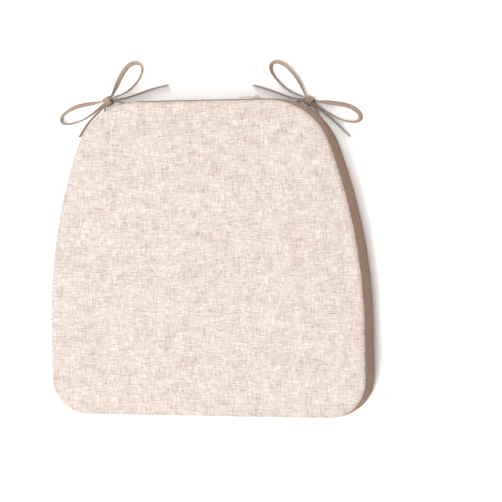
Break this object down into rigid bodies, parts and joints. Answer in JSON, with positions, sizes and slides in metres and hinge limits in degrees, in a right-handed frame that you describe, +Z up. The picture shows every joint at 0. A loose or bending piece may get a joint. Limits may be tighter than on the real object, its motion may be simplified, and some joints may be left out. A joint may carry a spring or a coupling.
{
  "type": "chair seat pad",
  "caption": "Boxed linen seat pad for a kitchen chair, wide at the front and rounded in to a narrower back, with a zipped back and ties in bows at the back corners.",
  "frame": {"origin": "centre of the underside, on the surface that the pad lies on", "axes": "+Z up, -Y towards the wide front edge, +Y towards the back edge with the zip and the ties, +X to the right of someone seen from the front edge looking back"},
  "size_m": [0.432, 0.4639, 0.054],
  "materials": {
    "linen": "heathered plain weave, matt",
    "linen_band": "heathered plain weave, matt",
    "tie_linen": "folded and edge-stitched strip, matt",
    "foam": "open-cell polyurethane foam",
    "wadding": "polyester wadding",
    "zip_tape": "woven tape",
    "zip_coil": "nylon coil",
    "zip_metal": "nickel plated"
  },
  "bodies": {
    "pad": {"foam_core": "foam", "wadding_top": "wadding", "wadding_bottom": "wadding", "wadding_side": "wadding", "top_panel": "linen", "bottom_panel": "linen", "side_band": "linen_band", "back_placket_lower": "linen_band", "back_placket_upper": "linen_band", "zip_tape_lower": "zip_tape", "zip_tape_upper": "zip_tape", "zip_coil_lower": "zip_coil", "zip_coil_upper": "zip_coil", "zip_stop_left": "zip_metal", "zip_stop_right": "zip_metal", "right_back_tie": "tie_linen", "right_side_tie": "tie_linen", "right_knot": "tie_linen", "left_back_tie": "tie_linen", "left_side_tie": "tie_linen", "left_knot": "tie_linen"},
    "zip_slider": {"zip_slider": "zip_metal"},
    "zip_pull": {"zip_pull": "zip_metal"}
  },
  "joints": [
    {"name": "zip_slide", "type": "slide", "parent": "pad", "child": "zip_slider", "axis": [1, 0, 0], "range_m": [-0.139, 0]},
    {"name": "zip_pull_swing", "type": "hinge", "parent": "zip_slider", "child": "zip_pull", "pos_m": [0.06972, 0.208, 0.025], "axis": [0, 0, -1], "range_deg": [0, 180]}
  ]
}
